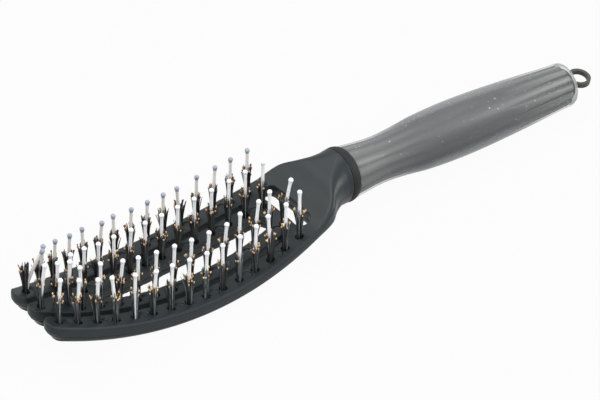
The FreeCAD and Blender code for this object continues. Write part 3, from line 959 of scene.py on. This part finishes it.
def core_profile():
    start, end = COLLAR_WIDTH + CORE_START_GAP, BUTT - CORE_GAP
    points = [(start, CORE_BORE), (start, grip_radius_at(start) - wall_at(start))]
    points += [(x, grip_radius_at(x) - wall_at(x))
               for x in steps(start + CORE_LEAD, end - CORE_EDGE, CORE_STEPS)]
    points += quarter_round(end, grip_radius_at(BUTT) - END_WALL, CORE_EDGE, CORE_EDGE_STEPS)
    return points + [(end, PLUG_RADIUS + CORE_PLUG_GAP)]


core_mesh = turned("core", core_profile(), CORE_SIDES, fluted)
mark_flutes(core_mesh)
core = piece("grip_fluted_core", core_mesh, [CORE])
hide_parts("grip_core")


# ---- pins and tufts ----

# Bristles: how many in a tuft and in how many locks, their depth in the hole, the ring
# about the pin that they stand in, and how far one strays from its lock's direction
BRISTLES, LOCKS, LOCK_SPREAD = 50, 4, 0.4
ROOT_DEPTH, ROOT_RADIUS, ROOT_WIDTH = 1.2, 0.56, 0.26
STRAY_ANGLE = 0.46

# Shares that end in a knob or stick out
KNOB_SHARE, STRAY_SHARE = 0.24, 0.05

# What each bristle draws from: share of the tuft's height, how far its top stands out and
# how much further with a knob or as a stray one, sideways drift, how late it bows outward,
# its radius and its knob's
HEIGHT_RANGE = (0.74, 1.0)
SPLAY_RANGE, KNOB_SPLAY, STRAY_SPLAY = (0.25, 0.7), (0.1, 0.6), (0.5, 1.3)
DRIFT_RANGE, BOW_RANGE = (-0.2, 0.2), (1.8, 3.6)
GAUGE_RANGE, KNOB_RANGE = (0.13, 0.17), (0.2, 0.3)

# Places of a bristle's rings along it, those of its knob with shares of the knob's radius,
# and the share of its own radius where it ends without one
SHAFT_RINGS = (0, 0.3, 0.55, 0.78)
KNOB_NECK, KNOB_RINGS = 0.93, ((0.95, 0.9), (0.98, 1.0), (1.0, 0.5))
POINT_SHARE = 0.6

# Rings of a pin: height, or drop below the ball's middle, and share of its radius; then
# the angles where the ball starts and stops short of its top, and the growth of a lean
# along the pin and its spread
PIN_SHAFT = ((-ROOT_DEPTH, 1), (4, 1), (9, 0.98), (13, 0.95))
PIN_THROAT = ((1.5, 0.95), (0.85, 1.1))
BALL_START, BALL_STOP = -0.72, 0.06
LEAN_CURVE, LEAN_SPREAD = 1.4, 0.15

# Places in a mesh's materials, and each line's shares of tips in painted shade and of
# grey bristles that paint a sheen
BLACK_PLACE, GOLD_PLACE, PAINTED_SHEEN_PLACE, SHADED_TIP_PLACE = range(4)
SHAFT_PLACE, BALL_PLACE = range(2)
DRESS = {"left_finger": (0.75, 0.05), "middle_left": (0.35, 0.1), "middle_tip": (0.3, 0.3),
         "middle_right": (0.12, 0.28), "right_finger": (0.05, 0.34)}

# To the right and away, as the camera sees them, how far the pins' tops stand off at the
# finger tips, and how that changes over a reach
RIGHT, AWAY = Vector((0.79, -0.61, 0)), Vector((0.61, 0.79, 0))
FAN_REACH = 100
RIGHT_AT_TIPS, RIGHT_FALL = 0.9, 0.8
NEAR_AT_TIPS, AWAY_RISE = 0.8, 1.9

# Further lean of single pins, to the right and away, by their place in the line
LEANS = {
    "left_finger": {0: (4.9, 0.0), 1: (1.1, 0.0), 4: (-0.4, 0.4), 5: (0.6, 0.0),
                    6: (-0.4, 0.5), 10: (-1.0, -1.2), 12: (0.5, 0.4)},
    "middle_left": {2: (-0.5, -0.8)},
    "middle_tip": {0: (1.0, 0.0)},
    "middle_right": {0: (-0.5, -1.0), 2: (0.6, 0.0), 8: (0.8, -0.6), 10: (1.1, 1.0),
                     12: (2.0, -0.2)},
    "right_finger": {0: (0.4, 0.0), 3: (-1.6, 0.0), 5: (0.8, 0.0), 12: (-1.2, -0.4)},
}


def tube(points, radii, sides, phase=0):
    """Rings round a line of points."""
    rings = []
    for i, (point, radius) in enumerate(zip(points, radii)):
        ahead = points[min(i + 1, len(points) - 1)] - points[max(i - 1, 0)]
        rings.append(ring_round(point, ahead.normalized(), radius, sides, phase))
    return rings


class Tubes:
    """Many tubes as one mesh, each face with its place in the mesh's materials."""

    def __init__(self):
        self.verts, self.faces, self.places = [], [], []

    def add(self, rings, place, tip_place, tip_from=None):
        """Adds a tube, which takes the tip's material from one of its rings on."""
        base, size = len(self.verts), len(rings[0])
        self.verts += [tuple(p) for ring in rings for p in ring]
        for index, face in enumerate(ring_faces(len(rings), size, caps=False)):
            self.faces.append(tuple(base + i for i in face))
            at_tip = tip_from is not None and index // size >= tip_from
            self.places.append(tip_place if at_tip else place)
        self.faces.append(tuple(range(len(self.verts) - size, len(self.verts))))
        self.places.append(place if tip_from is None else tip_place)

    def piece(self, name, materials):
        mesh = bpy.data.meshes.new(name)
        mesh.from_pydata(self.verts, [], self.faces)
        obj = piece(name, mesh, materials)
        for poly, place in zip(mesh.polygons, self.places):
            poly.material_index = place
        return obj


def bristle(rng, foot, lock, dress, tubes):
    """One black bristle of a lock; some bow out further and end in a small pale knob."""
    shaded_tip_share, painted_sheen_share = dress
    angle = lock + rng.gauss(0, STRAY_ANGLE)
    spread = ROOT_RADIUS + ROOT_WIDTH * rng.random()
    root = foot + Vector((spread * math.cos(angle), spread * math.sin(angle), -ROOT_DEPTH))
    height = ROOT_DEPTH + TUFT_HEIGHT * rng.uniform(*HEIGHT_RANGE)
    splay = rng.uniform(*SPLAY_RANGE)
    knobbed = rng.random() < KNOB_SHARE
    if knobbed:
        splay += rng.uniform(*KNOB_SPLAY)
    elif rng.random() < STRAY_SHARE:
        splay += rng.uniform(*STRAY_SPLAY)
    bow = rng.uniform(*BOW_RANGE)
    drift = Vector((rng.uniform(*DRIFT_RANGE), rng.uniform(*DRIFT_RANGE), 0))
    out = Vector((math.cos(angle), math.sin(angle), 0)) * splay + drift
    gauge = rng.uniform(*GAUGE_RANGE)
    line = [(t, gauge) for t in SHAFT_RINGS]
    if knobbed:
        knob = rng.uniform(*KNOB_RANGE)
        line += [(KNOB_NECK, gauge)] + [(t, knob * share) for t, share in KNOB_RINGS]
    else:
        line += [(1.0, gauge * POINT_SHARE)]
    points = [root + out * t ** bow + Vector((0, 0, height * t)) for t, _ in line]
    rings = tube(points, [r for _, r in line], BRISTLE_SIDES, angle)
    # Some bristles take the grey look that paints a sheen, more of them in the nearer lines
    place = PAINTED_SHEEN_PLACE if rng.random() < painted_sheen_share else BLACK_PLACE
    # Some tips take the darker copy of the gold, which paints shade, most of them in the far
    # lines
    tip_place = SHADED_TIP_PLACE if rng.random() < shaded_tip_share else GOLD_PLACE
    tubes.add(rings, place, tip_place, len(SHAFT_RINGS) if knobbed else None)


def fanned(station, own):
    """How far a pin's top stands off its foot: the pins fan a little towards the grip."""
    share = station / FAN_REACH
    across, away = own
    return (RIGHT * (RIGHT_AT_TIPS - RIGHT_FALL * share + across)
            + AWAY * (AWAY_RISE * share - NEAR_AT_TIPS + away))


def pin_rings(foot, lean):
    """A shaft that thins upward and flares again under its ball, bent towards its lean."""
    centre = PIN_HEIGHT - BALL_RADIUS
    line = [(z, PIN_RADIUS * share) for z, share in PIN_SHAFT]
    line += [(centre - drop, PIN_RADIUS * share) for drop, share in PIN_THROAT]
    for turn in steps(BALL_START, math.pi / 2 - BALL_STOP, BALL_STEPS):
        line.append((centre + BALL_RADIUS * math.sin(turn), BALL_RADIUS * math.cos(turn)))
    points = [foot + lean * (max(z, 0) / PIN_HEIGHT) ** LEAN_CURVE + Vector((0, 0, z))
              for z, _ in line]
    return tube(points, [r for _, r in line], PIN_SIDES)


def dress_line(name, feet):
    """Bristles and pins of one line, drawn in turn from the line's own seed."""
    rng = random.Random("row " + name)
    tuft_tubes, pin_tubes = Tubes(), Tubes()
    for index, (station, y) in enumerate(feet):
        foot = foot_at(station, y)
        turn = rng.uniform(0, 2 * math.pi)
        locks = [turn + rng.uniform(-LOCK_SPREAD, LOCK_SPREAD) + k * 2 * math.pi / LOCKS
                 for k in range(LOCKS)]
        for count in range(BRISTLES):
            bristle(rng, foot, locks[count % LOCKS], DRESS[name], tuft_tubes)
        lean = Vector((rng.gauss(0, LEAN_SPREAD), rng.gauss(0, LEAN_SPREAD), 0))
        lean += fanned(station, LEANS[name].get(index, (0.0, 0.0)))
        ball_from = len(PIN_SHAFT) + len(PIN_THROAT) - 1
        pin_tubes.add(pin_rings(foot, lean), SHAFT_PLACE, BALL_PLACE, ball_from)
    tufts = tuft_tubes.piece(name + "_bristles", [BLACK, GOLD, BRISTLE_PAINTED_SHEEN, TIP_PAINTED_SHADE])
    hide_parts(name + "_tufts")
    # The far line's pins take the darker copies of the white looks, which paint shade on them
    pin_looks = [NYLON_PAINTED_SHADE, BALL_PAINTED_SHADE] if name == "left_finger" else [NYLON, BALL]
    pins = pin_tubes.piece(name + "_ball_pins", pin_looks)
    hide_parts(name + "_pins")


for line_name, line_feet in LINES.items():
    dress_line(line_name, line_feet)


# ---- nodes kept as the solids have them ----

# Rounding of the hang loop's edges in metres, and the angle that makes an edge
LOOP_EDGE, LOOP_EDGE_ANGLE = 0.0002, 50


def look(node, material):
    data = frame["nodes"][node].data
    data.materials.clear()
    data.materials.append(material)


look("hang_loop", LOOP)
look("loop_retainer", LOOP)
look("end_plug", PLUG)
look("tang_dowel", STEEL)
for line_name in LINES:
    look(line_name + "_anchors", STEEL)

bevel = frame["nodes"]["hang_loop"].modifiers.new("edge", "BEVEL")
bevel.width = LOOP_EDGE
bevel.segments = 3
bevel.limit_method = "ANGLE"
bevel.angle_limit = math.radians(LOOP_EDGE_ANGLE)
bevel.harden_normals = True


# ---- floor, light and camera ----

# The floor's size and drop below the brush in metres, its grey for light, and the share
# of white where it is seen
WHITE = (1, 1, 1, 1)
FLOOR_SIZE, FLOOR_DROP = 6, 0.0001
FLOOR_GREY, FLOOR_GLOW = 0.3, 0.955

# The light that the world gives, from level to straight up
SKY = ((0.0, (0.28, 0.29, 0.3)), (0.75, (0.94, 0.965, 0.98)))

# Name, place and size in metres, and power of each lamp, aimed at the middle of the brush
LAMPS = (
    ("overhead", (-0.3, 0.28, 0.8), (0.6, 0.5), 4.2),
    ("side", (0.75, -0.42, 0.42), (0.3, 0.4), 4.2),
    ("front", (-0.35, -0.64, 0.62), (0.5, 0.4), 2.7),
)

# Camera: turn about Z, height angle and roll in radians, focal length in pixels, distance
# to the middle of the brush in millimetres, and the pixel that shows that middle
TURN, HEIGHT, ROLL = -0.65560, 0.65675, 0.00779
FOCAL, DISTANCE, CENTRE_X, CENTRE_Y = 3348.2, 1058.7, 322.86, 213.98
IMAGE = (600, 400)
SENSOR_WIDTH = 36.0


def seen(tree, share):
    """One where a camera, glossy or transmitted ray looks, times a share."""
    path = tree.nodes.new("ShaderNodeLightPath")
    value = path.outputs["Is Camera Ray"]
    for ray in ("Is Glossy Ray", "Is Transmission Ray"):
        either = tree.nodes.new("ShaderNodeMath")
        either.operation = "MAXIMUM"
        tree.links.new(value, either.inputs[0])
        tree.links.new(path.outputs[ray], either.inputs[1])
        value = either.outputs[0]
    scaled = tree.nodes.new("ShaderNodeMath")
    scaled.operation = "MULTIPLY"
    scaled.inputs[1].default_value = share
    tree.links.new(value, scaled.inputs[0])
    return scaled.outputs[0]


def white_where_seen(tree, output, plain, kind, share):
    """Sends a plain shader to the output, and white of strength 1 to what looks at it."""
    white = tree.nodes.new(kind)
    white.inputs["Color"].default_value = WHITE
    white.inputs["Strength"].default_value = 1.0
    mix = tree.nodes.new("ShaderNodeMixShader")
    tree.links.new(seen(tree, share), mix.inputs["Fac"])
    tree.links.new(plain.outputs[0], mix.inputs[1])
    tree.links.new(white.outputs[0], mix.inputs[2])
    tree.links.new(mix.outputs[0], output.inputs["Surface"])


def add_floor():
    bpy.ops.mesh.primitive_plane_add(size=FLOOR_SIZE, location=(0, 0, -FLOOR_DROP))
    floor = bpy.context.object
    floor.name = "floor"
    material = bpy.data.materials.new("floor_look")
    tree = cleared_tree(material)
    output = tree.nodes.new("ShaderNodeOutputMaterial")
    diffuse = tree.nodes.new("ShaderNodeBsdfDiffuse")
    diffuse.inputs["Color"].default_value = (FLOOR_GREY, FLOOR_GREY, FLOOR_GREY, 1)
    white_where_seen(tree, output, diffuse, "ShaderNodeEmission", FLOOR_GLOW)
    floor.data.materials.append(material)


def add_world():
    world = bpy.data.worlds.new("studio")
    bpy.context.scene.world = world
    tree = cleared_tree(world)
    output = tree.nodes.new("ShaderNodeOutputWorld")
    soft = tree.nodes.new("ShaderNodeBackground")
    soft.inputs["Strength"].default_value = 1.0
    coords = tree.nodes.new("ShaderNodeTexCoord")
    split = tree.nodes.new("ShaderNodeSeparateXYZ")
    tree.links.new(coords.outputs["Generated"], split.inputs[0])
    tree.links.new(ramp(tree, split.outputs["Z"], *SKY), soft.inputs["Color"])
    white_where_seen(tree, output, soft, "ShaderNodeBackground", 1.0)


def add_lamp(name, place, size, power):
    data = bpy.data.lights.new(name, "AREA")
    data.shape = "RECTANGLE"
    data.size, data.size_y = size
    data.energy = power
    lamp = new_object(name, data)
    lamp.location = place
    lamp.rotation_euler = (-Vector(place)).to_track_quat("-Z", "Y").to_euler()


def add_camera():
    right = Vector((math.cos(TURN), math.sin(TURN), 0))
    up = Vector((-math.sin(TURN) * math.sin(HEIGHT), math.cos(TURN) * math.sin(HEIGHT),
                 math.cos(HEIGHT)))
    ahead = Vector((-math.sin(TURN) * math.cos(HEIGHT), math.cos(TURN) * math.cos(HEIGHT),
                    -math.sin(HEIGHT)))
    across = right * math.cos(ROLL) + up * math.sin(ROLL)
    upward = up * math.cos(ROLL) - right * math.sin(ROLL)
    shift_x = (CENTRE_X - IMAGE[0] / 2) / FOCAL * DISTANCE
    shift_y = -(CENTRE_Y - IMAGE[1] / 2) / FOCAL * DISTANCE
    data = bpy.data.cameras.new("camera")
    data.sensor_width = SENSOR_WIDTH
    data.sensor_fit = "HORIZONTAL"
    data.lens = SENSOR_WIDTH * FOCAL / IMAGE[0]
    data.clip_start, data.clip_end = 0.05, 20
    camera = new_object("camera", data)
    matrix = Matrix((across, upward, -ahead)).transposed().to_4x4()
    matrix.translation = (-ahead * DISTANCE - across * shift_x - upward * shift_y) * MM
    camera.matrix_world = matrix
    bpy.context.scene.camera = camera


add_floor()
add_world()
for lamp in LAMPS:
    add_lamp(*lamp)
add_camera()
bpy.context.scene.view_settings.view_transform = "Standard"
